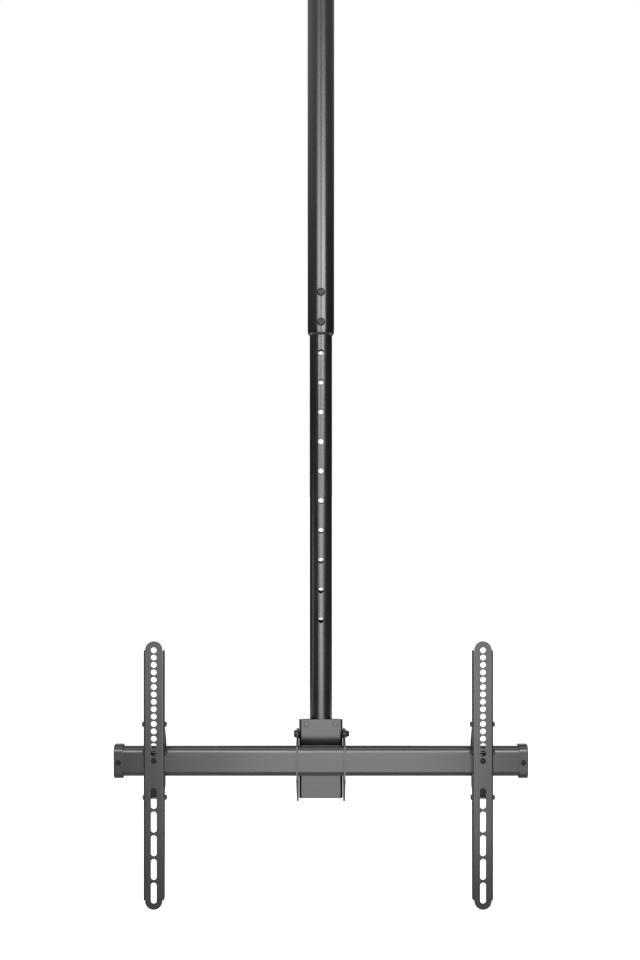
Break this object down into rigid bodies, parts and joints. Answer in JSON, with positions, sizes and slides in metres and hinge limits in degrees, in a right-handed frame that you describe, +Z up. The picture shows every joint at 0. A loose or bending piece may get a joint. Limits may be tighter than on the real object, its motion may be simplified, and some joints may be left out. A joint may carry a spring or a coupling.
{
  "type": "television ceiling mount",
  "caption": "Black telescopic ceiling pole with a swivel, a tilting cross bar and slotted hook-on arms for a flat screen.",
  "frame": {"origin": "centre of the ceiling plate's top face, in the plane of the ceiling", "axes": "+Z up along the pole, X along the cross bar, -Y towards the screen and its viewer"},
  "size_m": [0.679, 0.1333, 1.7972],
  "materials": {
    "powder_coated_steel": "fine-grained satin black powder coat",
    "black_screws": "semi-gloss black coated screws, rivets and washers",
    "black_plastic": "matt black moulded plastic with a fine texture"
  },
  "bodies": {
    "ceiling": {"ceiling_plate": "powder_coated_steel", "ceiling_yoke": "powder_coated_steel", "ceiling_pivot_bolt": "black_screws", "ceiling_pivot_nut": "black_screws", "pivot_washers": "black_screws"},
    "pole_head": {"pivot_sleeve": "powder_coated_steel", "pole_spigot": "powder_coated_steel"},
    "outer_pole": {"outer_tube": "powder_coated_steel", "end_collar": "black_plastic", "upper_lock_screw": "black_screws", "lower_lock_screw": "black_screws", "swivel_screws": "black_screws"},
    "inner_pole": {"inner_tube": "powder_coated_steel", "inner_glide": "black_plastic", "pole_plug": "black_plastic", "head_channel": "powder_coated_steel", "pole_saddle": "powder_coated_steel", "saddle_rivets": "black_screws", "tilt_pivot_bolt": "black_screws", "tilt_pivot_nut": "black_screws", "tilt_lock_bolt": "black_screws", "tilt_lock_nut": "black_screws", "tilt_nut_washers": "black_screws", "pole_spacers": "black_screws", "friction_washers": "black_plastic"},
    "tilt_head": {"left_side_plate": "powder_coated_steel", "right_side_plate": "powder_coated_steel", "cross_bar": "powder_coated_steel", "left_end_cap": "black_plastic", "right_end_cap": "black_plastic", "left_cap_screw": "black_screws", "right_cap_screw": "black_screws"},
    "left_screen_arm": {"left_arm": "powder_coated_steel", "left_hook_bracket": "powder_coated_steel", "left_arm_rivets": "black_screws", "left_arm_bolts": "black_screws", "left_arm_nuts": "black_screws", "left_clamp_screw": "black_screws", "left_clamp_nut": "black_screws"},
    "right_screen_arm": {"right_arm": "powder_coated_steel", "right_hook_bracket": "powder_coated_steel", "right_arm_rivets": "black_screws", "right_arm_bolts": "black_screws", "right_arm_nuts": "black_screws", "right_clamp_screw": "black_screws", "right_clamp_nut": "black_screws"}
  },
  "joints": [
    {"name": "ceiling_pivot", "type": "hinge", "parent": "ceiling", "child": "pole_head", "pos_m": [0, 0, -0.045], "axis": [1, 0, 0], "range_deg": [-60, 60]},
    {"name": "pole_swivel", "type": "hinge", "parent": "pole_head", "child": "outer_pole", "pos_m": [0, 0, -0.1], "axis": [0, 0, 1], "continuous": true},
    {"name": "height_slide", "type": "slide", "parent": "outer_pole", "child": "inner_pole", "axis": [0, 0, 1], "range_m": [0, 0.5]},
    {"name": "screen_tilt", "type": "hinge", "parent": "inner_pole", "child": "tilt_head", "pos_m": [0, 0, -1.5295], "axis": [1, 0, 0], "range_deg": [-5, 15]},
    {"name": "left_arm_slide", "type": "slide", "parent": "tilt_head", "child": "left_screen_arm", "axis": [1, 0, 0], "range_m": [-0.03, 0.2]},
    {"name": "right_arm_slide", "type": "slide", "parent": "tilt_head", "child": "right_screen_arm", "axis": [1, 0, 0], "range_m": [-0.2, 0.035]}
  ]
}
